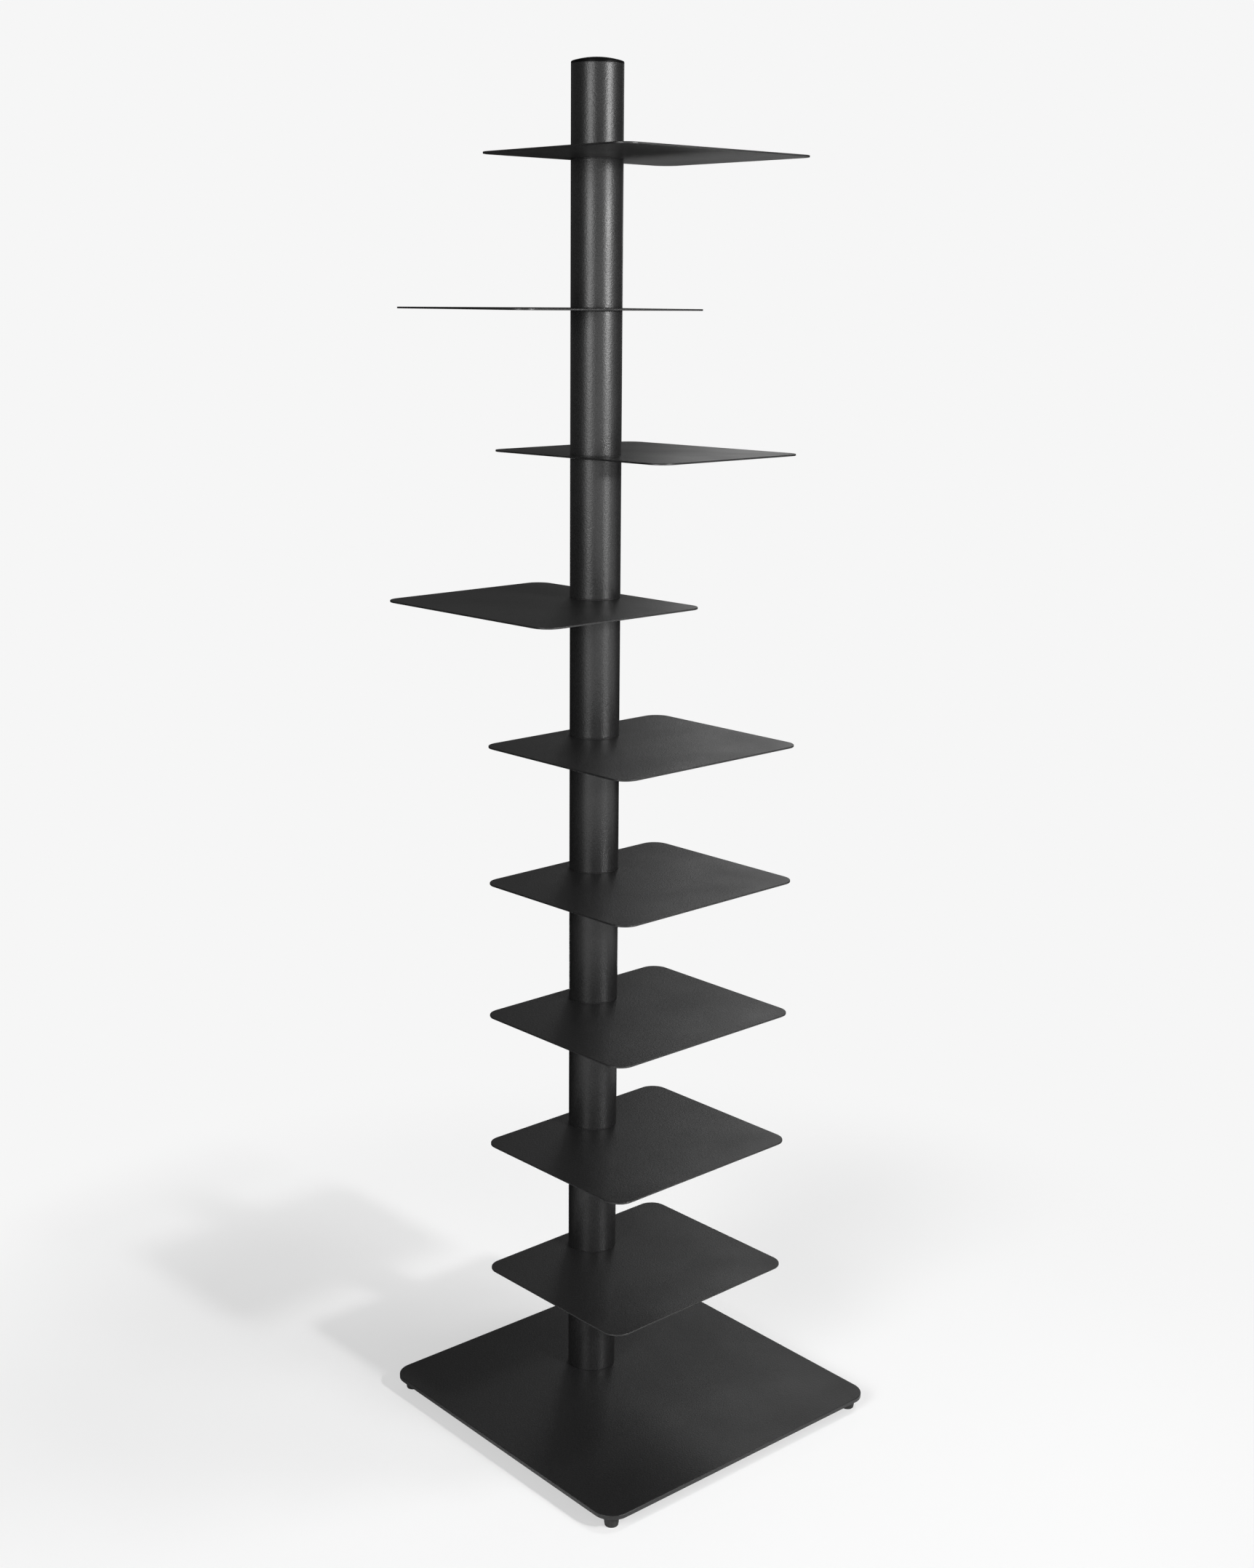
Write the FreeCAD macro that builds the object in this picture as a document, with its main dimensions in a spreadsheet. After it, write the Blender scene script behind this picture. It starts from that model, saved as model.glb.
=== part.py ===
import FreeCAD, Part
import math
import os
import re
import Sketcher

# A free-standing column shelf: nine thin steel plates that each turn about one upright column,
# over a square steel base on four rubber feet. Millimetres, +Z up, front towards -Y, feet on Z = 0.
# The column is a stack of tubes slipped over an inner mast. Each shelf plate lies between two
# plastic collars that sit in the tube ends, and a bolt at the top draws the stack together.

os.makedirs("parts", exist_ok=True)
doc = FreeCAD.newDocument("column_shelf")
sheet = doc.addObject("Spreadsheet::Sheet", "Sizes")

DRIVING_SIZES = [
    # The base plate, and how far it reaches behind the column's axis
    ("base_side", "431"),
    ("base_thickness", "5"),
    ("base_corner_radius", "25"),
    ("base_edge_round", "0.8"),
    ("base_back_reach", "141.5"),
    # How far the column stands behind the middle of the whole object
    ("column_back", "41.4"),
    # The column tubes and the spacing of the shelves on them
    ("tube_radius", "30"),
    ("tube_wall", "2"),
    ("shelf_pitch", "166.5"),
    ("top_tube_length", "99"),
    # The mast inside the tubes, and the flange that holds it to the base
    ("mast_radius", "25"),
    ("mast_wall", "2"),
    ("mast_short", "8"),
    ("flange_height", "8"),
    ("flange_spigot_height", "22"),
    ("flange_screw_circle_radius", "14"),
    ("flange_screw_radius", "3"),
    ("flange_screw_head_radius", "6"),
    ("flange_screw_head_height", "3.3"),
    ("flange_screw_length", "20"),
    ("flange_screw_socket_radius", "2.3"),
    ("flange_screw_socket_depth", "2"),
    # The shelf plates, and how far each reaches behind the column's axis
    ("shelf_width", "287"),
    ("shelf_depth", "244.5"),
    ("shelf_back_reach", "39.5"),
    ("shelf_thickness", "2"),
    ("shelf_corner_radius", "20.5"),
    ("shelf_edge_round", "0.4"),
    ("shelf_hole_radius", "27"),
    # The plastic collars in the tube ends, above and below each plate
    ("collar_depth", "14"),
    ("collar_lip_thickness", "0.5"),
    ("collar_lip_set_back", "0.3"),
    ("collar_rim_gap", "0.2"),
    ("running_clearance", "0.05"),
    ("seat_clearance", "0.1"),
    # The rubber feet with their steel washers and screws
    ("foot_height", "16"),
    ("foot_top_radius", "10"),
    ("foot_tip_radius", "6.5"),
    ("foot_tip_round", "0.8"),
    ("foot_inset", "19"),
    ("foot_recess_radius", "4.6"),
    ("foot_recess_depth", "8"),
    ("foot_washer_thickness", "1.2"),
    ("foot_screw_radius", "2.5"),
    ("foot_screw_head_radius", "4"),
    ("foot_screw_head_height", "2.8"),
    ("foot_screw_bite", "4"),
    # The clamp at the column's top, hidden by the cap
    ("shoulder_depth", "32"),
    ("shoulder_thickness", "4"),
    ("mast_plug_height", "14"),
    ("clamp_bolt_radius", "5"),
    ("clamp_bolt_clearance", "0.5"),
    ("clamp_bolt_head_radius", "9.2"),
    ("clamp_bolt_head_height", "6.4"),
    ("clamp_washer_radius", "12"),
    ("clamp_washer_thickness", "2.5"),
    ("disc_spring_radius", "14"),
    ("disc_spring_thickness", "1.2"),
    ("disc_spring_rise", "0.9"),
    # The domed cap
    ("cap_side_height", "1.5"),
    ("cap_dome_height", "7.2"),
    ("cap_edge_round", "1.5"),
    ("cap_wall", "2.5"),
    ("cap_ceiling_height", "1.2"),
    ("cap_plug_depth", "14"),
    ("cap_fin_reach", "1.2"),
    ("cap_fin_thickness", "1"),
    ("cap_fin_spacing", "4"),
]

# How far each shelf, counted from the lowest, is turned from straight ahead, in degrees
SHELF_TURNS = [1.5, 1.7, 1.7, 2.6, 2.3, -87.1, 94.7, 180.8, 1.2]
FLANGE_SCREWS = 3
CAP_FINS = 3

for row, (size_name, size_text) in enumerate(DRIVING_SIZES, start=1):
    sheet.set("A%d" % row, size_name)
    sheet.set("B%d" % row, size_text)
    sheet.setAlias("B%d" % row, size_name)
doc.recompute()

# Rules that several pieces share
TUBE_BORE = "tube_radius - tube_wall"
TUBE_LENGTH = "shelf_pitch - shelf_thickness - 2 * collar_lip_thickness"
BASE_TOP = "foot_height + base_thickness"
COLUMN_TOP = BASE_TOP + " + %d * shelf_pitch + top_tube_length" % len(SHELF_TURNS)
SHOULDER_TOP = COLUMN_TOP + " - shoulder_depth"
MAST_TOP = SHOULDER_TOP + " - shoulder_thickness - mast_short"
MAST_BORE = "mast_radius - mast_wall"
BASE_AHEAD = "(base_side / 2 - base_back_reach)"
BASE_MIDDLE = "column_back - " + BASE_AHEAD
FOOT_REACH = "base_side / 2 - foot_inset"
FOOT_SCREW_REACH = "foot_height - foot_recess_depth + foot_washer_thickness + foot_screw_bite"
COLLAR_RIM_TOP = "collar_lip_thickness + shelf_thickness / 2 - collar_rim_gap / 2"
CLAMP_HOLE = "clamp_bolt_radius + clamp_bolt_clearance"
CLAMP_STACK = "disc_spring_rise + disc_spring_thickness + clamp_washer_thickness"
HEXAGON_SHARES = [(math.cos(math.radians(60 * side)), math.sin(math.radians(60 * side)))
                  for side in range(6)]
FLAT = 1e-6
nodes = []


def on_sheet(rule):
    """The rule with every size named by its place on the sheet."""
    return re.sub(r"[a-z][a-z_]*", lambda word: "Sizes." + word.group(), rule)


def value_of(rule):
    """What a rule comes to with the present sizes."""
    return float(sheet.evalExpression(rule))


def bind(item, **rules):
    """Tie properties of an object to rules on the sheet."""
    for name, rule in rules.items():
        item.setExpression(name, on_sheet(rule))


def stand_at(item, up, back="column_back", across="0", turn=0, flipped=False):
    """Put a sub-part at its own place, turned about the height or upside down, and keep it."""
    upright = FreeCAD.Rotation(FreeCAD.Vector(0, 0, 1), turn)
    over = FreeCAD.Rotation(FreeCAD.Vector(1, 0, 0), 180 if flipped else 0)
    item.Placement = FreeCAD.Placement(FreeCAD.Vector(), upright.multiply(over))
    item.setExpression("Placement.Base.x", on_sheet(across))
    item.setExpression("Placement.Base.y", on_sheet(back))
    item.setExpression("Placement.Base.z", on_sheet(up))
    nodes.append(item)


def new_body(label):
    """An empty body with the sub-part's own name, which may hold several like solids."""
    body = doc.addObject("PartDesign::Body", label)
    body.Label = label
    body.AllowCompound = True
    return body


def new_sketch(body, name, role):
    """A sketch on one of the body's own origin planes."""
    plane = [item for item in body.Origin.OriginFeatures if item.Role == role][0]
    sketch = body.newObject("Sketcher::SketchObject", name)
    sketch.AttachmentSupport = [(plane, "")]
    sketch.MapMode = "FlatFace"
    return sketch


def pin_point(sketch, way, edge, end, rule):
    """Hold one point of a sketch at its distance from the origin, on either side of it."""
    distance = value_of(rule)
    if distance == 0:
        axis = -2 if way == "DistanceX" else -1
        sketch.addConstraint(Sketcher.Constraint("PointOnObject", edge, end, axis))
    elif distance > 0:
        index = sketch.addConstraint(Sketcher.Constraint(way, -1, 1, edge, end, distance))
        sketch.setExpression("Constraints[%d]" % index, on_sheet(rule))
    else:
        index = sketch.addConstraint(Sketcher.Constraint(way, edge, end, -1, 1, -distance))
        sketch.setExpression("Constraints[%d]" % index, on_sheet("-(%s)" % rule))


def draw_lines(sketch, corners, closed=True):
    """Straight lines through corners given as rules, across and up. Returns the first and last line."""
    points = [FreeCAD.Vector(value_of(across), value_of(up), 0) for across, up in corners]
    first = sketch.GeometryCount
    count = len(points) if closed else len(points) - 1
    for index in range(count):
        sketch.addGeometry(Part.LineSegment(points[index], points[(index + 1) % len(points)]))
        pin_point(sketch, "DistanceX", first + index, 1, corners[index][0])
        pin_point(sketch, "DistanceY", first + index, 1, corners[index][1])
        if index > 0:
            sketch.addConstraint(Sketcher.Constraint("Coincident", first + index - 1, 2, first + index, 1))
    last = first + count - 1
    if closed:
        sketch.addConstraint(Sketcher.Constraint("Coincident", last, 2, first, 1))
    else:
        pin_point(sketch, "DistanceX", last, 2, corners[-1][0])
        pin_point(sketch, "DistanceY", last, 2, corners[-1][1])
    return first, last


def draw_circle(sketch, radius, across="0", up="0"):
    """A circle whose radius and centre follow rules."""
    centre = FreeCAD.Vector(value_of(across), value_of(up), 0)
    edge = sketch.addGeometry(Part.Circle(centre, FreeCAD.Vector(0, 0, 1), value_of(radius)))
    index = sketch.addConstraint(Sketcher.Constraint("Radius", edge, value_of(radius)))
    sketch.setExpression("Constraints[%d]" % index, on_sheet(radius))
    pin_point(sketch, "DistanceX", edge, 3, across)
    pin_point(sketch, "DistanceY", edge, 3, up)


def draw_at_feet(sketch, radius, forward="0"):
    """Four like circles over the feet, the base's middle lying forward of the local origin."""
    for across in (FOOT_REACH, "-(%s)" % FOOT_REACH):
        for back in (FOOT_REACH, "-(%s)" % FOOT_REACH):
            draw_circle(sketch, radius, across, "%s - %s" % (back, forward))


def pad(body, sketch, length, downwards=False):
    """Raise a sketch by a rule's length, or let it down."""
    feature = body.newObject("PartDesign::Pad", sketch.Name + "_pad")
    feature.Profile = sketch
    feature.Reversed = downwards
    bind(feature, Length=length)
    doc.recompute()
    return feature


def cut(body, kind, sketch, **rules):
    """Cut a sketch out of the body, upwards or round its own axis, and see that it bites."""
    before = body.Shape.Volume
    feature = body.newObject("PartDesign::" + kind, sketch.Name + "_cut")
    feature.Profile = sketch
    if kind == "Groove":
        feature.ReferenceAxis = (sketch, ["Axis0"])
        feature.Angle = 360
    else:
        feature.Reversed = True
    bind(feature, **rules)
    doc.recompute()
    if body.Shape.Volume >= before:
        raise RuntimeError(feature.Name + " cut nothing")
    return feature


def turned(body, sketch, axis="V_Axis"):
    """Turn a profile once round the upright axis, or round the sketch's own line."""
    feature = body.newObject("PartDesign::Revolution", sketch.Name + "_turned")
    feature.Profile = sketch
    feature.ReferenceAxis = (sketch, [axis])
    feature.Angle = 360
    doc.recompute()
    return feature


def turned_body(label, corners):
    """A body made by turning one closed profile."""
    body = new_body(label)
    sketch = new_sketch(body, label + "_profile", "XZ_Plane")
    draw_lines(sketch, corners)
    turned(body, sketch)
    return body


def tube(label, radius, bore, length):
    """A plain round tube, or a disc with a hole, standing on its own plane."""
    body = new_body(label)
    sketch = new_sketch(body, label + "_ring", "XY_Plane")
    draw_circle(sketch, radius)
    draw_circle(sketch, bore)
    pad(body, sketch, length)
    return body


def round_edges(body, name, radius, wanted):
    """Round those edges of the body that the test picks out."""
    base = body.Tip
    edges = ["Edge%d" % (index + 1) for index, edge in enumerate(base.Shape.Edges) if wanted(edge)]
    feature = body.newObject("PartDesign::Fillet", name)
    feature.Base = (base, edges)
    bind(feature, Radius=radius)
    doc.recompute()
    return feature


def is_upright(edge):
    """Whether an edge runs straight along the height."""
    box = edge.BoundBox
    return box.ZLength > 0 and max(box.XLength, box.YLength) < FLAT


def lies_at(edge, height):
    """Whether an edge lies flat at a height."""
    box = edge.BoundBox
    return box.ZLength < FLAT and abs(box.ZMin - value_of(height)) < FLAT


def is_ring(edge, height, radius):
    """Whether an edge is a whole circle of a radius at a height."""
    return edge.isClosed() and lies_at(edge, height) and abs(edge.Curve.Radius - value_of(radius)) < FLAT


def plate(label, half_width, front, back, thickness, corner_radius, hole=None):
    """A flat plate with rounded corners, its reach given each way from the local origin."""
    body = new_body(label)
    sketch = new_sketch(body, label + "_plan", "XY_Plane")
    left = "-(%s)" % half_width
    draw_lines(sketch, [(left, "-(%s)" % front), (half_width, "-(%s)" % front),
                        (half_width, back), (left, back)])
    if hole:
        draw_circle(sketch, hole)
    pad(body, sketch, thickness)
    round_edges(body, label + "_corners", corner_radius, is_upright)
    return body


# Base plate: steel plate with rounded corners and an eased top edge, most of it ahead of the column.
# From below it has blind tapped holes for the feet and countersunk holes for the flange screws.
base_plate = plate("base_plate", "base_side / 2", "base_side - base_back_reach",
                   "base_back_reach", "base_thickness", "base_corner_radius")
round_edges(base_plate, "base_plate_eased", "base_edge_round",
            lambda edge: lies_at(edge, "base_thickness"))
foot_holes = new_sketch(base_plate, "foot_holes", "XY_Plane")
draw_at_feet(foot_holes, "foot_screw_radius", BASE_AHEAD)
cut(base_plate, "Pocket", foot_holes, Length="foot_screw_bite + seat_clearance")


def draw_flange_screw(body, name, shank_top, spare="0"):
    """Half the outline of a countersunk screw on the flange's screw circle, and its own axis."""
    middle = "flange_screw_circle_radius"
    head = "%s + flange_screw_head_radius + %s" % (middle, spare)
    shank = "%s + flange_screw_radius + %s" % (middle, spare)
    sketch = new_sketch(body, name, "XZ_Plane")
    draw_lines(sketch, [(middle, "0"), (head, "0"), (shank, "flange_screw_head_height"),
                        (shank, shank_top), (middle, shank_top)])
    foot = FreeCAD.Vector(value_of(middle), 0, 0)
    top = FreeCAD.Vector(value_of(middle), value_of(shank_top), 0)
    axis = sketch.addGeometry(Part.LineSegment(foot, top), True)
    sketch.addConstraint(Sketcher.Constraint("Coincident", axis, 1, 0, 1))
    sketch.addConstraint(Sketcher.Constraint("Coincident", axis, 2, 4, 1))
    return sketch


def repeat_round(body, features):
    """Repeat features evenly round the body's upright axis, once for each flange screw."""
    pattern = body.newObject("PartDesign::PolarPattern", body.Name + "_round")
    pattern.Originals = features
    axis = [item for item in body.Origin.OriginFeatures if item.Role == "Z_Axis"][0]
    pattern.Axis = (axis, [""])
    pattern.Angle = 360
    pattern.Occurrences = FLANGE_SCREWS
    body.Tip = pattern
    doc.recompute()
    return pattern


seat_sketch = draw_flange_screw(base_plate, "screw_seat", "base_thickness", "seat_clearance")
repeat_round(base_plate, [cut(base_plate, "Groove", seat_sketch)])
stand_at(base_plate, "foot_height")

# Feet: moulded rubber cones, narrow end down, each with a recess for its washer and screw.
for end_name, end_sign in (("front", "-"), ("back", "+")):
    for side_name, side_sign in (("left", "-"), ("right", "")):
        foot = turned_body("foot_%s_%s" % (end_name, side_name), [
            ("foot_recess_radius", "0"), ("foot_tip_radius", "0"), ("foot_top_radius", "foot_height"),
            ("foot_screw_radius + seat_clearance", "foot_height"),
            ("foot_screw_radius + seat_clearance", "foot_recess_depth"),
            ("foot_recess_radius", "foot_recess_depth")])
        round_edges(foot, foot.Name + "_tip", "foot_tip_round",
                    lambda edge: is_ring(edge, "0", "foot_tip_radius"))
        stand_at(foot, "0", "%s %s (%s)" % (BASE_MIDDLE, end_sign, FOOT_REACH),
                 "%s(%s)" % (side_sign, FOOT_REACH))

# Foot washers: steel, one against the ceiling of each foot's recess.
foot_washers = new_body("foot_washers")
washer_plan = new_sketch(foot_washers, "foot_washer_rings", "XY_Plane")
draw_at_feet(washer_plan, "foot_recess_radius - seat_clearance")
draw_at_feet(washer_plan, "foot_screw_radius + seat_clearance")
pad(foot_washers, washer_plan, "foot_washer_thickness")
stand_at(foot_washers, "foot_recess_depth - foot_washer_thickness", BASE_MIDDLE)

# Foot screws: pan heads under the washers, shanks up into the base plate's tapped holes.
foot_screws = new_body("foot_screws")
shank_plan = new_sketch(foot_screws, "foot_screw_shanks", "XY_Plane")
draw_at_feet(shank_plan, "foot_screw_radius")
pad(foot_screws, shank_plan, FOOT_SCREW_REACH)
head_plan = new_sketch(foot_screws, "foot_screw_heads", "XY_Plane")
draw_at_feet(head_plan, "foot_screw_head_radius")
pad(foot_screws, head_plan, "foot_screw_head_height", downwards=True)
round_edges(foot_screws, "foot_screw_domes", "foot_screw_head_height / 2",
            lambda edge: is_ring(edge, "-foot_screw_head_height", "foot_screw_head_radius"))
stand_at(foot_screws, "foot_recess_depth - foot_washer_thickness", BASE_MIDDLE)

# Mast flange: a turned steel foot for the mast. Its disc centres the lowest column tube, its spigot
# fills the mast's lower end, and the flange screws come up into it through the base plate.
mast_flange = turned_body("mast_flange", [
    ("0", "0"), (TUBE_BORE + " - seat_clearance", "0"), (TUBE_BORE + " - seat_clearance", "flange_height"),
    (MAST_BORE + " - seat_clearance", "flange_height"),
    (MAST_BORE + " - seat_clearance", "flange_height + flange_spigot_height"),
    ("0", "flange_height + flange_spigot_height")])
tapped_hole = new_sketch(mast_flange, "flange_tapped_hole", "XY_Plane")
draw_circle(tapped_hole, "flange_screw_radius", "flange_screw_circle_radius")
repeat_round(mast_flange, [cut(mast_flange, "Pocket", tapped_hole,
                               Length="flange_screw_length - base_thickness + seat_clearance")])
stand_at(mast_flange, BASE_TOP)

# Flange screws: countersunk, flush with the underside of the base plate, with hexagon sockets.
flange_screws = new_body("flange_screws")
screw_sketch = draw_flange_screw(flange_screws, "flange_screw_profile", "flange_screw_length")
screw_turned = turned(flange_screws, screw_sketch, "Axis0")
socket_sketch = new_sketch(flange_screws, "flange_screw_socket", "XY_Plane")
draw_lines(socket_sketch, [
    ("flange_screw_circle_radius + flange_screw_socket_radius * (%.6f)" % across_share,
     "flange_screw_socket_radius * (%.6f)" % up_share) for across_share, up_share in HEXAGON_SHARES])
socket_cut = cut(flange_screws, "Pocket", socket_sketch, Length="flange_screw_socket_depth")
repeat_round(flange_screws, [screw_turned, socket_cut])
stand_at(flange_screws, "foot_height")

# Mast: one steel tube from the flange nearly to the top, which carries the stack.
mast = tube("mast", "mast_radius", MAST_BORE, "%s - (%s) - flange_height" % (MAST_TOP, BASE_TOP))
stand_at(mast, BASE_TOP + " + flange_height")

# Column tubes: equal lengths between the shelves, and a shorter one on top.
for number in range(1, len(SHELF_TURNS) + 1):
    column_tube = tube("column_tube_%d" % number, "tube_radius", TUBE_BORE, TUBE_LENGTH)
    stand_at(column_tube, "%s + %d * shelf_pitch" % (BASE_TOP, number - 1))
top_tube = tube("column_tube_%d" % (len(SHELF_TURNS) + 1), "tube_radius", TUBE_BORE, "top_tube_length")
stand_at(top_tube, "%s + %d * shelf_pitch" % (BASE_TOP, len(SHELF_TURNS)))

# Collars: moulded plastic rings in the tube ends. The lip parts tube and plate, and the rim goes
# half way into the plate's hole and centres it. The upper one is the same piece turned over.
COLLAR_PROFILE = [
    ("mast_radius + seat_clearance", "-collar_depth"),
    (TUBE_BORE + " - seat_clearance", "-collar_depth"),
    (TUBE_BORE + " - seat_clearance", "0"),
    ("tube_radius - collar_lip_set_back", "0"),
    ("tube_radius - collar_lip_set_back", "collar_lip_thickness"),
    ("shelf_hole_radius - running_clearance", "collar_lip_thickness"),
    ("shelf_hole_radius - running_clearance", COLLAR_RIM_TOP),
    ("mast_radius + seat_clearance", COLLAR_RIM_TOP)]
for number in range(1, len(SHELF_TURNS) + 1):
    tube_end = "%s + %d * shelf_pitch" % (BASE_TOP, number)
    lower_collar = turned_body("lower_collar_%d" % number, COLLAR_PROFILE)
    stand_at(lower_collar, tube_end + " - shelf_thickness - 2 * collar_lip_thickness")
    upper_collar = turned_body("upper_collar_%d" % number, COLLAR_PROFILE)
    stand_at(upper_collar, tube_end, flipped=True)


def is_outer(edge):
    """Whether an edge runs round the outside of a shelf's upper or lower face."""
    return not edge.isClosed() and (lies_at(edge, "0") or lies_at(edge, "shelf_thickness"))


# Shelf plates: thin steel sheet with rounded corners, held at a hole near one long edge.
for number, turn in enumerate(SHELF_TURNS, start=1):
    shelf = plate("shelf_%d" % number, "shelf_width / 2", "shelf_depth - shelf_back_reach",
                  "shelf_back_reach", "shelf_thickness", "shelf_corner_radius", "shelf_hole_radius")
    round_edges(shelf, shelf.Name + "_eased", "shelf_edge_round", is_outer)
    stand_at(shelf, "%s + %d * shelf_pitch - shelf_thickness - collar_lip_thickness" % (BASE_TOP, number),
             turn=turn)

# Mast plug: a threaded steel disc welded into the mast's top end.
mast_plug = tube("mast_plug", MAST_BORE + " - seat_clearance", "clamp_bolt_radius", "mast_plug_height")
stand_at(mast_plug, MAST_TOP + " - mast_plug_height")

# Tube shoulder: a steel disc welded inside the top tube, for the clamp to press on.
tube_shoulder = tube("tube_shoulder", TUBE_BORE, CLAMP_HOLE, "shoulder_thickness")
stand_at(tube_shoulder, SHOULDER_TOP + " - shoulder_thickness")

# Disc spring: a shallow steel cone that keeps the stack pressed together as the shelves turn.
disc_spring = turned_body("disc_spring", [
    ("disc_spring_radius", "0"), ("disc_spring_radius", "disc_spring_thickness"),
    (CLAMP_HOLE, "disc_spring_rise + disc_spring_thickness"), (CLAMP_HOLE, "disc_spring_rise")])
stand_at(disc_spring, SHOULDER_TOP)

# Clamp washer, on the spring's raised inner edge.
clamp_washer = tube("clamp_washer", "clamp_washer_radius", CLAMP_HOLE, "clamp_washer_thickness")
stand_at(clamp_washer, SHOULDER_TOP + " + disc_spring_rise + disc_spring_thickness")

# Clamp bolt: hexagon head on the washer, shank through the shoulder into the mast plug.
clamp_bolt = new_body("clamp_bolt")
bolt_head = new_sketch(clamp_bolt, "clamp_bolt_head", "XY_Plane")
draw_lines(bolt_head, [
    ("clamp_bolt_head_radius * (%.6f)" % across_share, "clamp_bolt_head_radius * (%.6f)" % up_share)
    for across_share, up_share in HEXAGON_SHARES])
pad(clamp_bolt, bolt_head, "clamp_bolt_head_height")
bolt_shank = new_sketch(clamp_bolt, "clamp_bolt_shank", "XY_Plane")
draw_circle(bolt_shank, "clamp_bolt_radius")
pad(clamp_bolt, bolt_shank, CLAMP_STACK + " + shoulder_thickness + mast_short + mast_plug_height",
    downwards=True)
stand_at(clamp_bolt, "%s + %s" % (SHOULDER_TOP, CLAMP_STACK))

# End cap: a moulded plug with a low dome as wide as the tube, and thin fins that grip its bore.
# The dome's own centre lies on the axis, and a rounded edge is tangent to it and to the short side.
end_cap = new_body("end_cap")
cap_profile = new_sketch(end_cap, "end_cap_profile", "XZ_Plane")
plug_radius = TUBE_BORE + " - cap_fin_reach"
cap_corners = [("tube_radius", "cap_side_height"), ("tube_radius", "0"), (plug_radius, "0")]
for fin in range(1, CAP_FINS + 1):
    fin_top = "-%d * cap_fin_spacing" % fin
    cap_corners += [(plug_radius, fin_top), (TUBE_BORE + " - seat_clearance", fin_top),
                    (TUBE_BORE + " - seat_clearance", fin_top + " - cap_fin_thickness"),
                    (plug_radius, fin_top + " - cap_fin_thickness")]
cap_corners += [(plug_radius, "-cap_plug_depth"), (plug_radius + " - cap_wall", "-cap_plug_depth"),
                (plug_radius + " - cap_wall", "cap_ceiling_height"), ("0", "cap_ceiling_height"),
                ("0", "cap_dome_height")]
cap_side, cap_axis = draw_lines(cap_profile, cap_corners, closed=False)
edge_round = value_of("cap_edge_round")
edge_middle = FreeCAD.Vector(value_of("tube_radius - cap_edge_round"), value_of("cap_side_height"), 0)
dome_rise = value_of("cap_dome_height - cap_side_height")
dome_radius = (edge_middle.x ** 2 + dome_rise ** 2 - edge_round ** 2) / (2 * (dome_rise - edge_round))
dome_middle = FreeCAD.Vector(0, value_of("cap_dome_height") - dome_radius, 0)
meeting_angle = math.atan2(edge_middle.y - dome_middle.y, edge_middle.x)
upwards = FreeCAD.Vector(0, 0, 1)
cap_edge = cap_profile.addGeometry(Part.ArcOfCircle(
    Part.Circle(edge_middle, upwards, edge_round), 0, meeting_angle))
dome = cap_profile.addGeometry(Part.ArcOfCircle(
    Part.Circle(dome_middle, upwards, dome_radius), meeting_angle, math.pi / 2))
edge_size = cap_profile.addConstraint(Sketcher.Constraint("Radius", cap_edge, edge_round))
cap_profile.setExpression("Constraints[%d]" % edge_size, on_sheet("cap_edge_round"))
cap_profile.addConstraint(Sketcher.Constraint("Tangent", cap_edge, 1, cap_side, 1))
cap_profile.addConstraint(Sketcher.Constraint("Tangent", dome, 1, cap_edge, 2))
cap_profile.addConstraint(Sketcher.Constraint("Coincident", dome, 2, cap_axis, 2))
cap_profile.addConstraint(Sketcher.Constraint("PointOnObject", dome, 3, -2))
turned(end_cap, cap_profile)
stand_at(end_cap, COLUMN_TOP)

# See that every step worked, then write each sub-part under its own name
doc.recompute()
for item in doc.Objects:
    if "Invalid" in item.State or "Error" in item.State:
        raise RuntimeError("%s did not build" % item.Name)
for node in nodes:
    if node.Shape.isNull() or not node.Shape.isValid():
        raise RuntimeError("%s has no sound shape" % node.Label)
for node in nodes:
    node.Shape.exportStep("parts/%s.step" % node.Label)
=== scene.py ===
import bpy
import numpy as np
from mathutils import Matrix, Vector


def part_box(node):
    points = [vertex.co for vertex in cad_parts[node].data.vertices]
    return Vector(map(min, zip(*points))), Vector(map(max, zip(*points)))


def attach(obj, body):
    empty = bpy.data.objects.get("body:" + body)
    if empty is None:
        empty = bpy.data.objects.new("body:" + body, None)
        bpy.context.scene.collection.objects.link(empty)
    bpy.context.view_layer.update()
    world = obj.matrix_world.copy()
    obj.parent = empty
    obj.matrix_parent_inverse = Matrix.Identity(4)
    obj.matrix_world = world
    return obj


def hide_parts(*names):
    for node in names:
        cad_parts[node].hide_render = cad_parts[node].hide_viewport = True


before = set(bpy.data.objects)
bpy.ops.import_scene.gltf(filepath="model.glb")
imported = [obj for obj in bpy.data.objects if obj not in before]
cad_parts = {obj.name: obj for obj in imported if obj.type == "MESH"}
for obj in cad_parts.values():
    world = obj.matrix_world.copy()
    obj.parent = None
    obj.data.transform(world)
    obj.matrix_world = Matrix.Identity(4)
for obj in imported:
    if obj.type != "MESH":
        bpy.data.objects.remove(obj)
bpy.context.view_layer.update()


# Base plate: a square of 5 mm steel plate with rounded corners and an eased top edge, powder-coated
# charcoal all over. Most of it lies in front of the column, and three countersunk holes in its
# underside take the screws that hold the mast.
AXIS_X = 0.0
AXIS_Y = 0.0414


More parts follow.
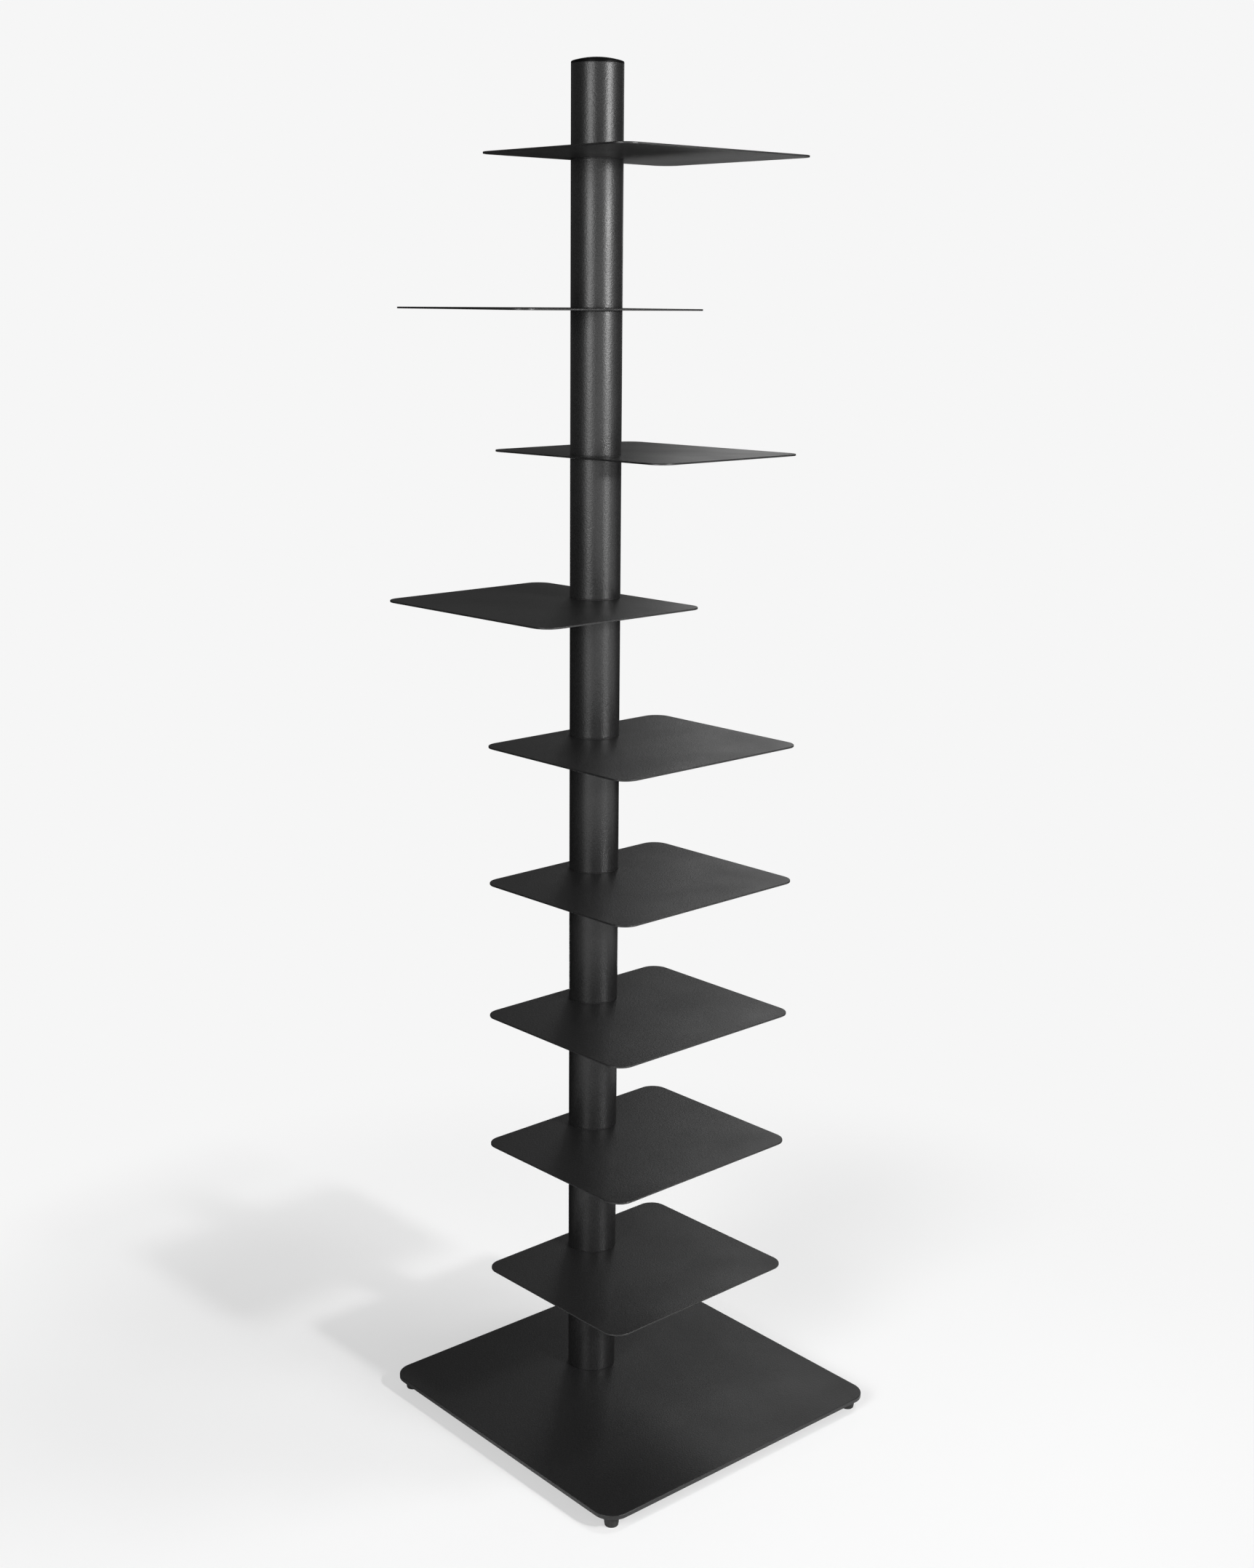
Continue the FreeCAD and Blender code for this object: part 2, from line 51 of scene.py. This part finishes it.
def edge_distance(angles, reach, corner, inset=0.0):
    """How far a plate's rounded outline lies from the column's axis at each angle.

    A ray from the axis meets the nearest of the four straight sides. Where that point lies in a
    corner's square, the ray's outer crossing with the corner's circle is taken instead. inset
    moves the whole outline inwards, and the corner's radius gets smaller by as much.
    """
    ray = np.stack([np.cos(angles), np.sin(angles)], axis=-1)
    low = np.array([-reach["left"], -reach["front"]]) + inset
    high = np.array([reach["right"], reach["back"]]) - inset
    side = np.where(ray < 0, low, high)
    to_sides = side / np.where(np.abs(ray) < 1e-9, 1e-9, ray)
    straight = np.min(np.abs(to_sides), axis=-1)
    radius = corner - inset
    middle = np.where(ray < 0, low + radius, high - radius)
    hit = straight[:, None] * ray
    in_corner = np.all(np.abs(hit - side) < radius, axis=-1)
    along = np.sum(middle * ray, axis=-1)
    under_root = along ** 2 - np.sum(middle ** 2, axis=-1) + radius ** 2
    curved = along + np.sqrt(np.maximum(under_root, 0.0))
    return np.where(in_corner, curved, straight)


def outline_angles(reach, corner, per_corner=16, per_turn=180):
    """The angles of a plate's points: even steps round the axis, and more within the corners."""
    arc = np.linspace(0.0, np.pi / 2, per_corner + 1)
    found = [np.arange(per_turn) * 2 * np.pi / per_turn]
    for quarter, across, along in ((0, "right", "back"), (1, "left", "back"),
                                   (2, "left", "front"), (3, "right", "front")):
        x_sign = 1 if across == "right" else -1
        y_sign = 1 if along == "back" else -1
        middle_x = x_sign * (reach[across] - corner)
        middle_y = y_sign * (reach[along] - corner)
        turn = arc + quarter * np.pi / 2
        found.append(np.arctan2(middle_y + corner * np.sin(turn), middle_x + corner * np.cos(turn)))
    angles = np.sort(np.mod(np.concatenate(found), 2 * np.pi))
    apart = np.diff(angles, append=angles[0] + 2 * np.pi)
    return angles[apart > 1e-4]


def ringed_mesh(name, rings, joined):
    """A closed skin over rings of points, where rings[i, j] is the j-th point round ring i.

    Four neighbours span a quad. Where joined is true the last ring meets the first, as on a
    doughnut. Otherwise a fan of triangles closes each end ring at the mean of its points.
    """
    rows, around = rings.shape[:2]
    points = rings.reshape(-1, 3)
    this_ring = np.arange(rows if joined else rows - 1)[:, None] * around
    next_ring = np.mod(this_ring + around, rows * around)
    here = np.arange(around)[None, :]
    beside = np.mod(here + 1, around)
    quads = np.stack([this_ring + here, next_ring + here, next_ring + beside, this_ring + beside], -1)
    faces = quads.reshape(-1, 4).tolist()
    if not joined:
        poles = np.stack([rings[0].mean(axis=0), rings[-1].mean(axis=0)])
        points = np.concatenate([points, poles])
        first_fan = np.stack([np.full(around, rows * around), here[0], beside[0]], -1)
        last = (rows - 1) * around
        last_fan = np.stack([last + beside[0], last + here[0], np.full(around, rows * around + 1)], -1)
        faces += first_fan.tolist() + last_fan.tolist()
    mesh = bpy.data.meshes.new(name)
    mesh.from_pydata(points.tolist(), [], faces)
    mesh.update()
    return mesh


def plate_rings(reach, corner, profile, turn=0.0):
    """Rings of points over a plate, from a profile of (inset from the outline, height) pairs.

    Each point lies where the ray at its angle meets the inset outline, turned about the axis by
    turn. A row whose first value is negative is a circle round the axis, of that radius.
    """
    angles = outline_angles(reach, corner)
    rings = []
    for inset, height in profile:
        far = edge_distance(angles, reach, corner, inset) if inset >= 0 else np.full(angles.shape, -inset)
        across = AXIS_X + far * np.cos(angles + turn)
        along = AXIS_Y + far * np.sin(angles + turn)
        rings.append(np.stack([across, along, np.full(angles.shape, height)], -1))
    return np.array(rings)


def eased(radius, steps):
    """(inset, drop) pairs down a quarter round: inset r - r sin t and drop r - r cos t."""
    angle = np.linspace(0.0, np.pi / 2, steps + 1)
    return list(zip(radius - radius * np.sin(angle), radius - radius * np.cos(angle)))


def shown(name, mesh, material, sharp=0.6):
    """An object for the mesh, smooth but for edges whose faces turn by more than sharp radians."""
    piece = bpy.data.objects.new(name, mesh)
    bpy.context.scene.collection.objects.link(piece)
    mesh.shade_smooth()
    mesh.set_sharp_from_angle(angle=sharp)
    mesh.materials.append(material)
    return piece


def finish_named(name, roughness, metallic=0.0):
    """A new material and its Principled shader."""
    material = bpy.data.materials.new(name)
    material.use_nodes = True
    shader = material.node_tree.nodes["Principled BSDF"]
    shader.inputs["Roughness"].default_value = roughness
    shader.inputs["Metallic"].default_value = metallic
    return material, shader


def blotches(material, size, low, high, detail=2.0, stretch=(1.0, 1.0, 1.0)):
    """Noise between low and high, in blotches about size metres across."""
    nodes = material.node_tree.nodes
    links = material.node_tree.links
    place = nodes.new("ShaderNodeTexCoord")
    spread = nodes.new("ShaderNodeMapping")
    spread.inputs["Scale"].default_value = stretch
    noise = nodes.new("ShaderNodeTexNoise")
    noise.inputs["Scale"].default_value = 1.0 / size
    noise.inputs["Detail"].default_value = detail
    swing = nodes.new("ShaderNodeMapRange")
    swing.inputs["From Min"].default_value = 0.3
    swing.inputs["From Max"].default_value = 0.7
    swing.inputs["To Min"].default_value = low
    swing.inputs["To Max"].default_value = high
    links.new(place.outputs["Object"], spread.inputs["Vector"])
    links.new(spread.outputs["Vector"], noise.inputs["Vector"])
    links.new(noise.outputs["Fac"], swing.inputs["Value"])
    return swing.outputs["Result"]


def tinted(material, shader, amount, dark, light):
    """Base colour that goes from dark to light with amount."""
    mix = material.node_tree.nodes.new("ShaderNodeMix")
    mix.data_type = "RGBA"
    mix.inputs["A"].default_value = (*dark, 1.0)
    mix.inputs["B"].default_value = (*light, 1.0)
    material.node_tree.links.new(amount, mix.inputs["Factor"])
    material.node_tree.links.new(mix.outputs["Result"], shader.inputs["Base Color"])


def bumped(material, shader, height, depth, below=None):
    """Relief of depth metres from lowest to highest, over an earlier bump if there is one."""
    bump = material.node_tree.nodes.new("ShaderNodeBump")
    bump.inputs["Strength"].default_value = 1.0
    bump.inputs["Distance"].default_value = depth
    material.node_tree.links.new(height, bump.inputs["Height"])
    if below:
        material.node_tree.links.new(below.outputs["Normal"], bump.inputs["Normal"])
    material.node_tree.links.new(bump.outputs["Normal"], shader.inputs["Normal"])
    return bump


powder_coat, coat_shader = finish_named("charcoal_powder_coat", 0.38)
tinted(powder_coat, coat_shader, blotches(powder_coat, 0.0016, 0.0, 1.0, 3.0),
       (0.006, 0.006, 0.0061), (0.016, 0.016, 0.0162))
powder_coat.node_tree.links.new(blotches(powder_coat, 0.09, 0.34, 0.42, 4.0),
                                coat_shader.inputs["Roughness"])
coat_waves = bumped(powder_coat, coat_shader, blotches(powder_coat, 0.0021, 0.0, 1.0, 2.0), 0.00008)
bumped(powder_coat, coat_shader, blotches(powder_coat, 0.0009, 0.0, 1.0, 1.0), 0.00002, coat_waves)

BASE_CORNER = 0.025
BASE_EASE = 0.0008
TOP_CIRCLE = 0.020
UNDER_CIRCLE = 0.035
base_low, base_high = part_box("base_plate")
base_reach = {"left": AXIS_X - base_low.x, "right": base_high.x - AXIS_X,
              "front": AXIS_Y - base_low.y, "back": base_high.y - AXIS_Y}
base_profile = [(-TOP_CIRCLE, base_high.z), (0.002, base_high.z)]
base_profile += [(inset, base_high.z - drop) for inset, drop in eased(BASE_EASE, 6)]
base_profile += [(0.0, base_low.z), (0.001, base_low.z), (-UNDER_CIRCLE, base_low.z)]
base_rings = plate_rings(base_reach, BASE_CORNER, base_profile)
base_mesh = ringed_mesh("coated_base", base_rings, joined=False)
base_piece = shown("coated_base", base_mesh, powder_coat)


def turned(name, profile, centre, around=128, joined=True):
    """A skin turned about an upright axis at centre, from a profile of (radius, height) pairs.

    The profile runs down the outside. Point j of each ring stands at 2 pi j / around.
    """
    radius, height = np.array(profile, float).T
    angle = np.arange(around) * 2 * np.pi / around
    across = centre[0] + radius[:, None] * np.cos(angle)
    along = centre[1] + radius[:, None] * np.sin(angle)
    rings = np.stack([across, along, np.broadcast_to(height[:, None], across.shape)], -1)
    return ringed_mesh(name, rings, joined)


def carved(piece, cutter_mesh):
    """The piece with the cutter's solid taken out of it for good."""
    cutter = bpy.data.objects.new("cutter", cutter_mesh)
    bpy.context.scene.collection.objects.link(cutter)
    cut = piece.modifiers.new("cut", "BOOLEAN")
    cut.object = cutter
    cut.solver = "EXACT"
    whole = piece.evaluated_get(bpy.context.evaluated_depsgraph_get())
    result = bpy.data.meshes.new_from_object(whole)
    piece.modifiers.clear()
    piece.data = result
    bpy.data.objects.remove(cutter)
    return piece


# Each screw seat is 0.1 mm wider all round than its screw. It stops just short of the plate's top,
# which the mast's flange hides.
SEATS = 3
SEAT_CIRCLE = 0.014
SEAT_BORE = 0.0031
SEAT_MOUTH = 0.0061
SEAT_DEPTH = 0.0033
for seat in range(SEATS):
    seat_angle = seat * 2 * np.pi / SEATS
    seat_centre = (AXIS_X + SEAT_CIRCLE * np.cos(seat_angle), AXIS_Y + SEAT_CIRCLE * np.sin(seat_angle))
    seat_profile = [(SEAT_BORE, base_high.z - 0.0001), (SEAT_BORE, base_low.z + SEAT_DEPTH),
                    (SEAT_MOUTH, base_low.z), (SEAT_MOUTH + 0.0001, base_low.z - 0.001)]
    carved(base_piece, turned("seat", seat_profile, seat_centre, around=48, joined=False))
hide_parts("base_plate")
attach(base_piece, "stand")


# Feet, with their washers and screws: four moulded rubber cones, narrow end down. Each has a recess
# below in which a pan-head screw and a washer hold it up against the base plate, so that no metal
# touches the floor.
rubber, rubber_shader = finish_named("black_rubber", 0.75)
tinted(rubber, rubber_shader, blotches(rubber, 0.004, 0.0, 1.0, 3.0),
       (0.011, 0.011, 0.011), (0.021, 0.021, 0.020))
rubber.node_tree.links.new(blotches(rubber, 0.006, 0.66, 0.84), rubber_shader.inputs["Roughness"])
bumped(rubber, rubber_shader, blotches(rubber, 0.0008, 0.0, 1.0), 0.00004)
FOOT_HEIGHT = 0.016
FOOT_TOP = 0.010
FOOT_FLANK = (0.0083, 0.0034)
FOOT_TIP = 0.0079
FOOT_TIP_ROUND = 0.0008
FOOT_BORE = 0.0026
RECESS_RADIUS = 0.0046
RECESS_DEPTH = 0.008
for foot_place in ("front_left", "front_right", "back_left", "back_right"):
    foot_low, foot_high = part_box("foot_" + foot_place)
    foot_centre = ((foot_low.x + foot_high.x) / 2, (foot_low.y + foot_high.y) / 2)
    foot_profile = [(FOOT_BORE, FOOT_HEIGHT), (FOOT_TOP - 0.0002, FOOT_HEIGHT),
                    (FOOT_TOP, FOOT_HEIGHT - 0.0002), FOOT_FLANK]
    foot_profile += [(FOOT_TIP - inset, drop) for inset, drop in reversed(eased(FOOT_TIP_ROUND, 6))]
    foot_profile += [(RECESS_RADIUS + 0.0002, 0.0), (RECESS_RADIUS, 0.0002),
                     (RECESS_RADIUS, RECESS_DEPTH), (FOOT_BORE, RECESS_DEPTH)]
    foot_mesh = turned("rubber_foot_" + foot_place, foot_profile, foot_centre, around=96)
    foot_piece = shown("rubber_foot_" + foot_place, foot_mesh, rubber)
    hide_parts("foot_" + foot_place)
    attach(foot_piece, "stand")

zinc, zinc_shader = finish_named("zinc_plate", 0.3, metallic=1.0)
tinted(zinc, zinc_shader, blotches(zinc, 0.003, 0.0, 1.0), (0.48, 0.49, 0.50), (0.62, 0.63, 0.65))
zinc.node_tree.links.new(blotches(zinc, 0.0015, 0.22, 0.42), zinc_shader.inputs["Roughness"])
bumped(zinc, zinc_shader, blotches(zinc, 0.0006, 0.0, 1.0), 0.000008)


def refinish(node, material):
    """Give a CAD node that stays in view its own surface."""
    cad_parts[node].data.materials.clear()
    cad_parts[node].data.materials.append(material)


refinish("foot_washers", zinc)
refinish("foot_screws", zinc)


# Mast, with its flange and screws: one bare steel tube inside the column, which carries the stack. It
# stands on a turned flange, and three countersunk screws come up into that flange through the base.
bare_steel, steel_shader = finish_named("mill_finish_steel", 0.4, metallic=1.0)
tinted(bare_steel, steel_shader, blotches(bare_steel, 0.002, 0.0, 1.0, 3.0, (1.0, 1.0, 0.06)),
       (0.30, 0.295, 0.29), (0.46, 0.455, 0.45))
bare_steel.node_tree.links.new(blotches(bare_steel, 0.02, 0.32, 0.52, 4.0),
                               steel_shader.inputs["Roughness"])
bumped(bare_steel, steel_shader, blotches(bare_steel, 0.0008, 0.0, 1.0, 2.0, (1.0, 1.0, 0.05)), 0.00001)
for node in ("mast", "mast_flange"):
    refinish(node, bare_steel)
refinish("flange_screws", zinc)


# Column tubes: ten lengths of 60 mm steel tube with 2 mm walls, slipped over the mast, one under each
# shelf and a shorter one on top. They are sawn square, deburred and coated like the plates.
TUBE_RADIUS = 0.030
TUBE_BORE = 0.028
TUBE_DEBURR = 0.0003
TUBE_END = 0.0015
for number in range(1, 11):
    tube_low, tube_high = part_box("column_tube_%d" % number)
    rim = eased(TUBE_DEBURR, 3)
    tube_profile = [(TUBE_RADIUS - inset, tube_high.z - drop) for inset, drop in rim]
    tube_profile += [(TUBE_RADIUS, tube_high.z - TUBE_END), (TUBE_RADIUS, tube_low.z + TUBE_END)]
    tube_profile += [(TUBE_RADIUS - inset, tube_low.z + drop) for inset, drop in reversed(rim)]
    tube_profile += [(TUBE_BORE, tube_low.z), (TUBE_BORE, tube_high.z)]
    tube_mesh = turned("coated_tube_%d" % number, tube_profile, (AXIS_X, AXIS_Y))
    tube_piece = shown("coated_tube_%d" % number, tube_mesh, powder_coat)
    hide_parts("column_tube_%d" % number)
    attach(tube_piece, "stand")


# Collars: two moulded nylon rings for each shelf, pushed into the ends of the tubes below and above
# it. A thin lip parts the tube from the plate, and that dark line is all that shows of them.
nylon, nylon_shader = finish_named("black_nylon", 0.5)
tinted(nylon, nylon_shader, blotches(nylon, 0.003, 0.0, 1.0),
       (0.009, 0.009, 0.009), (0.016, 0.016, 0.016))
nylon.node_tree.links.new(blotches(nylon, 0.004, 0.45, 0.6), nylon_shader.inputs["Roughness"])
for number in range(1, 10):
    refinish("lower_collar_%d" % number, nylon)
    refinish("upper_collar_%d" % number, nylon)


# Shelf plates: nine plates of 2 mm sheet steel with rounded corners and softened edges, coated
# charcoal. Each turns about the column on a hole near one long edge, and friction holds it where its
# owner left it.
SHELF_TURNS = (1.5, 1.7, 1.7, 2.6, 2.3, -87.1, 94.7, 180.8, 1.2)
SHELF_REACH = {"left": 0.1435, "right": 0.1435, "front": 0.205, "back": 0.0395}
SHELF_CORNER = 0.0205
SHELF_HOLE = 0.027
SHELF_EASE = 0.0004
SHELF_BORDER = 0.0012
for number, turn in enumerate(SHELF_TURNS, start=1):
    shelf_low, shelf_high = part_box("shelf_%d" % number)
    softened = eased(SHELF_EASE, 4)
    shelf_profile = [(-SHELF_HOLE, shelf_high.z), (SHELF_BORDER, shelf_high.z)]
    shelf_profile += [(inset, shelf_high.z - drop) for inset, drop in softened]
    shelf_profile += [(inset, shelf_low.z + drop) for inset, drop in reversed(softened)]
    shelf_profile += [(SHELF_BORDER, shelf_low.z), (-SHELF_HOLE, shelf_low.z)]
    shelf_rings = plate_rings(SHELF_REACH, SHELF_CORNER, shelf_profile, np.radians(turn))
    shelf_mesh = ringed_mesh("coated_shelf_%d" % number, shelf_rings, joined=True)
    shelf_piece = shown("coated_shelf_%d" % number, shelf_mesh, powder_coat)
    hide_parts("shelf_%d" % number)
    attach(shelf_piece, "shelf_%d" % number)


# Clamp in the column's top: a steel bolt through a welded shoulder draws the stack down on the mast's
# threaded plug, over a washer and a disc spring. That gives each shelf the friction that holds it
# where it is put.
for node in ("mast_plug", "tube_shoulder", "disc_spring"):
    refinish(node, bare_steel)
for node in ("clamp_bolt", "clamp_washer"):
    refinish(node, zinc)


# End cap: a plug moulded in matt black plastic, with a low dome as wide as the tube. Three thin fins
# round its stem grip the tube's bore.
cap_plastic, cap_shader = finish_named("matt_black_plastic", 0.42)
tinted(cap_plastic, cap_shader, blotches(cap_plastic, 0.01, 0.0, 1.0),
       (0.002, 0.002, 0.002), (0.004, 0.004, 0.004))
cap_shader.inputs["Specular IOR Level"].default_value = 0.06
cap_plastic.node_tree.links.new(blotches(cap_plastic, 0.006, 0.35, 0.5, 3.0),
                                cap_shader.inputs["Roughness"])
bumped(cap_plastic, cap_shader, blotches(cap_plastic, 0.004, 0.0, 1.0), 0.00001)
cap_low, cap_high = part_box("end_cap")
CAP_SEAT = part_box("column_tube_10")[1].z
CAP_RADIUS = TUBE_RADIUS
CAP_SIDE = 0.0015
CAP_EDGE = 0.0015
CAP_CEILING = 0.0012
STEM_RADIUS = 0.0268
STEM_BORE = 0.0243
FIN_RADIUS = 0.0279
FIN_THICKNESS = 0.001
FIN_TOPS = (0.004, 0.008, 0.012)
cap_rise = cap_high.z - CAP_SEAT - CAP_SIDE
edge_middle = CAP_RADIUS - CAP_EDGE
dome_radius = (edge_middle ** 2 + cap_rise ** 2 - CAP_EDGE ** 2) / (2 * (cap_rise - CAP_EDGE))
dome_middle = cap_high.z - dome_radius
meeting = np.arctan2(CAP_SEAT + CAP_SIDE - dome_middle, edge_middle)
over_dome = np.linspace(np.pi / 2 - 0.004, meeting, 24)
over_edge = np.linspace(meeting, 0.0, 7)[1:]
cap_profile = [(dome_radius * np.cos(t), dome_middle + dome_radius * np.sin(t)) for t in over_dome]
cap_profile += [(edge_middle + CAP_EDGE * np.cos(t), CAP_SEAT + CAP_SIDE + CAP_EDGE * np.sin(t))
                for t in over_edge]
cap_profile += [(CAP_RADIUS, CAP_SEAT), (STEM_RADIUS, CAP_SEAT)]
for fin_top in FIN_TOPS:
    fin_high = CAP_SEAT - fin_top
    fin_low = fin_high - FIN_THICKNESS
    cap_profile += [(STEM_RADIUS, fin_high), (FIN_RADIUS, fin_high),
                    (FIN_RADIUS, fin_low), (STEM_RADIUS, fin_low)]
cap_profile += [(STEM_RADIUS, cap_low.z), (STEM_BORE, cap_low.z), (STEM_BORE, CAP_SEAT + CAP_CEILING)]
cap_mesh = turned("domed_cap", cap_profile, (AXIS_X, AXIS_Y), joined=False)
cap_piece = shown("domed_cap", cap_mesh, cap_plastic)
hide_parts("end_cap")
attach(cap_piece, "stand")


# Studio: a pale floor that runs out into an equally pale background, a small hard lamp and softboxes
# at the front, softboxes on the left, behind and overhead, and a lit board on the floor behind.
BACKGROUND = 0.922
PAINT = 0.86
floor_paint, floor_shader = finish_named("pale_studio_floor", 0.9)
floor_shader.inputs["Base Color"].default_value = (PAINT, PAINT, PAINT, 1.0)
floor_shader.inputs["Specular IOR Level"].default_value = 0.0
floor_nodes = floor_paint.node_tree.nodes
floor_links = floor_paint.node_tree.links


def glow(name, strength):
    """A shader of even light of that strength, for the floor."""
    shader = floor_nodes.new("ShaderNodeEmission")
    shader.name = name
    shader.inputs["Color"].default_value = (1.0, 1.0, 1.0, 1.0)
    shader.inputs["Strength"].default_value = strength
    return shader.outputs["Emission"]


def mixed(factor, first, second):
    """The first shader where factor is 0 and the second where it is 1."""
    mix = floor_nodes.new("ShaderNodeMixShader")
    if isinstance(factor, float):
        mix.inputs["Fac"].default_value = factor
    else:
        floor_links.new(factor, mix.inputs["Fac"])
    floor_links.new(first, mix.inputs[1])
    floor_links.new(second, mix.inputs[2])
    return mix.outputs["Shader"]


def ramp(value, start, stop):
    """A smooth step from 0 at start to 1 at stop."""
    step = floor_nodes.new("ShaderNodeMapRange")
    step.interpolation_type = "SMOOTHSTEP"
    step.inputs["From Min"].default_value = start
    step.inputs["From Max"].default_value = stop
    floor_links.new(value, step.inputs["Value"])
    return step.outputs["Result"]


# The camera sees soft shadows within about a metre of the shelf, and an even glow beyond. The shelf
# itself is lit by the painted floor around its front, by a glow further out there, and by no floor
# behind it. AWAY is the level direction in which the floor grows dark for it.
AWAY = (0.208, 0.978, 0.0)
floor_place = floor_nodes.new("ShaderNodeTexCoord")
floor_reach = floor_nodes.new("ShaderNodeVectorMath")
floor_reach.operation = "LENGTH"
floor_links.new(floor_place.outputs["Object"], floor_reach.inputs[0])
floor_way = floor_nodes.new("ShaderNodeVectorMath")
floor_way.operation = "NORMALIZE"
floor_links.new(floor_place.outputs["Object"], floor_way.inputs[0])
floor_behind = floor_nodes.new("ShaderNodeVectorMath")
floor_behind.operation = "DOT_PRODUCT"
floor_behind.inputs[1].default_value = AWAY
floor_links.new(floor_way.outputs["Vector"], floor_behind.inputs[0])
floor_ray = floor_nodes.new("ShaderNodeLightPath")
no_light = glow("no_glow", 0.0)
reach = floor_reach.outputs["Value"]
behind = floor_behind.outputs["Value"]
near_seen = mixed(0.5, floor_shader.outputs["BSDF"], glow("near_glow", 0.92))
floor_seen = mixed(ramp(reach, 0.6, 1.1), near_seen, glow("far_glow", BACKGROUND))
near_felt = mixed(ramp(behind, -0.3, 0.9), floor_shader.outputs["BSDF"], no_light)
far_felt = mixed(ramp(behind, -0.5, -0.05), glow("front_glow", 1.5), no_light)
floor_felt = mixed(ramp(reach, 1.0, 2.4), near_felt, far_felt)
floor_all = mixed(floor_ray.outputs["Is Camera Ray"], floor_felt, floor_seen)
floor_links.new(floor_all, floor_nodes["Material Output"].inputs["Surface"])
FLOOR_RADIUS = 9
FLOOR_SIDES = 96
floor_angle = np.arange(FLOOR_SIDES) * 2 * np.pi / FLOOR_SIDES
floor_points = np.stack([FLOOR_RADIUS * np.cos(floor_angle), FLOOR_RADIUS * np.sin(floor_angle),
                         np.zeros(FLOOR_SIDES)], -1)
floor_mesh = bpy.data.meshes.new("studio_floor")
floor_mesh.from_pydata(floor_points.tolist(), [], [list(range(FLOOR_SIDES))])
studio_floor = shown("studio_floor", floor_mesh, floor_paint)


def lamp(name, place, aim, size, power):
    """A round lamp of that diameter towards the point aim, whose light is as strong near as far."""
    light = bpy.data.lights.new(name, "AREA")
    light.shape = "DISK"
    light.size = size
    light.energy = power
    light.use_nodes = True
    emission = light.node_tree.nodes["Emission"]
    even = light.node_tree.nodes.new("ShaderNodeLightFalloff")
    even.inputs["Strength"].default_value = 1.0
    light.node_tree.links.new(even.outputs["Constant"], emission.inputs["Strength"])
    stand = bpy.data.objects.new(name, light)
    stand.location = place
    stand.rotation_mode = "QUATERNION"
    stand.rotation_quaternion = (Vector(aim) - Vector(place)).to_track_quat("-Z", "Y")
    stand.visible_camera = False
    bpy.context.scene.collection.objects.link(stand)


SHELF_MIDDLE = (0.0, 0.04, 0.7)
lamp("front_lamp", (0.404, -2.376, 1.64), SHELF_MIDDLE, 0.2, 5.75)
lamp("front_softbox", (0.951, -2.572, 1.92), SHELF_MIDDLE, 0.8, 2.85)
lamp("front_low_softbox", (0.521, -2.914, 0.8), SHELF_MIDDLE, 0.8, 1.1)
lamp("front_fill", (-1.408, -2.609, 1.3), SHELF_MIDDLE, 1.2, 0.65)
lamp("left_softbox", (-2.678, -0.935, 1.72), SHELF_MIDDLE, 1.25, 5.0)
lamp("left_low_softbox", (-2.689, -1.046, 1.3), SHELF_MIDDLE, 0.9, 0.65)
lamp("back_softbox", (2.335, 1.675, 1.75), SHELF_MIDDLE, 1.2, 0.38)
lamp("overhead_softbox", (0.797, -0.703, 2.27), (0.0, 0.04, 0.3), 0.45, 2.0)
lamp("floor_board", (0.964, 1.189, 0.01), (0.964, 1.189, 2.0), 1.0, 3.7)

# The air behind is seen at the floor's own brightness, and lights the shelf much less than it shows
studio_air = bpy.data.worlds.new("studio_air")
studio_air.use_nodes = True
air_nodes = studio_air.node_tree.nodes
air_links = studio_air.node_tree.links
air_nodes["Background"].inputs["Color"].default_value = (1.0, 1.0, 1.0, 1.0)
air_nodes["Background"].inputs["Strength"].default_value = 0.1
air_seen = air_nodes.new("ShaderNodeBackground")
air_seen.inputs["Color"].default_value = (BACKGROUND, BACKGROUND, BACKGROUND, 1.0)
air_ray = air_nodes.new("ShaderNodeLightPath")
air_mix = air_nodes.new("ShaderNodeMixShader")
air_links.new(air_ray.outputs["Is Camera Ray"], air_mix.inputs["Fac"])
air_links.new(air_nodes["Background"].outputs["Background"], air_mix.inputs[1])
air_links.new(air_seen.outputs["Background"], air_mix.inputs[2])
air_links.new(air_mix.outputs["Shader"], air_nodes["World Output"].inputs["Surface"])
bpy.context.scene.world = studio_air
bpy.context.scene.view_settings.view_transform = "Standard"

camera_data = bpy.data.cameras.new("photo_camera")
camera_data.sensor_fit = "AUTO"
camera_data.sensor_width = 36.0
camera_data.lens = 46.33
camera = bpy.data.objects.new("photo_camera", camera_data)
CAMERA_PLACE = (-1.5330, -1.7807, 1.3627)
CAMERA_PITCH = np.radians(13.497)
CAMERA_ROLL = np.radians(0.5)
ahead = Vector((0.65649, 0.75433, 0.0))
heading = ahead * np.cos(CAMERA_PITCH) - Vector((0.0, 0.0, np.sin(CAMERA_PITCH)))
level = Vector((ahead.y, -ahead.x, 0.0))
upright = level.cross(heading)
rolled = level * np.cos(CAMERA_ROLL) + upright * np.sin(CAMERA_ROLL)
above = upright * np.cos(CAMERA_ROLL) - level * np.sin(CAMERA_ROLL)
camera_turn = Matrix((rolled, above, -heading)).transposed().to_4x4()
camera.matrix_world = Matrix.Translation(CAMERA_PLACE) @ camera_turn
bpy.context.scene.collection.objects.link(camera)
bpy.context.scene.camera = camera
